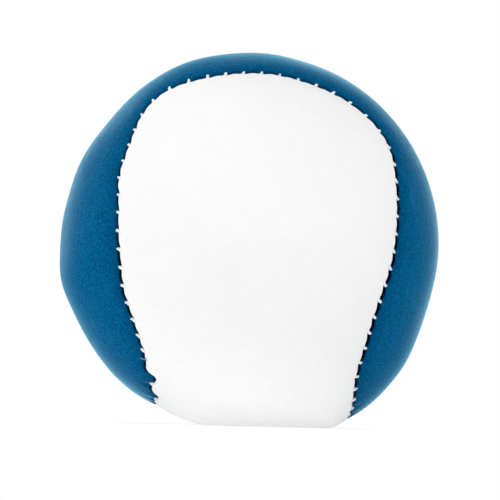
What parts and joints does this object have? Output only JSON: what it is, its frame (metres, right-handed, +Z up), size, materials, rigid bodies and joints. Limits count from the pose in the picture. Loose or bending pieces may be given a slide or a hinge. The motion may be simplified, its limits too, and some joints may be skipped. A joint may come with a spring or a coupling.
{
  "type": "pellet-filled kickball",
  "caption": "Small foot-juggling ball: a white and a blue dumbbell-shaped leathercloth panel whip-stitched along one seam, filled with loose plastic pellets.",
  "frame": {"origin": "on the resting flat, straight below the ball's centre", "axes": "+Z up from the resting flat, -Y to the front, where the white lobe faces, +X to the right"},
  "size_m": [0.0508, 0.0508, 0.0501],
  "materials": {
    "white_leathercloth": "satin, fine embossed grain",
    "blue_leathercloth": "satin, fine embossed grain",
    "sewing_thread": "matt twisted thread",
    "pellet_plastic": "translucent, waxy"
  },
  "bodies": {
    "root": {"white_panel": "white_leathercloth", "blue_panel": "blue_leathercloth", "seam_thread": "sewing_thread", "closing_thread": "sewing_thread", "pellet_fill": "pellet_plastic", "pellet_01": "pellet_plastic", "pellet_02": "pellet_plastic", "pellet_03": "pellet_plastic", "pellet_04": "pellet_plastic", "pellet_05": "pellet_plastic", "pellet_06": "pellet_plastic", "pellet_07": "pellet_plastic", "pellet_08": "pellet_plastic", "pellet_09": "pellet_plastic", "pellet_10": "pellet_plastic", "pellet_11": "pellet_plastic", "pellet_12": "pellet_plastic", "pellet_13": "pellet_plastic", "pellet_14": "pellet_plastic", "pellet_15": "pellet_plastic", "pellet_16": "pellet_plastic", "pellet_17": "pellet_plastic", "pellet_18": "pellet_plastic", "pellet_19": "pellet_plastic"}
  },
  "joints": []
}
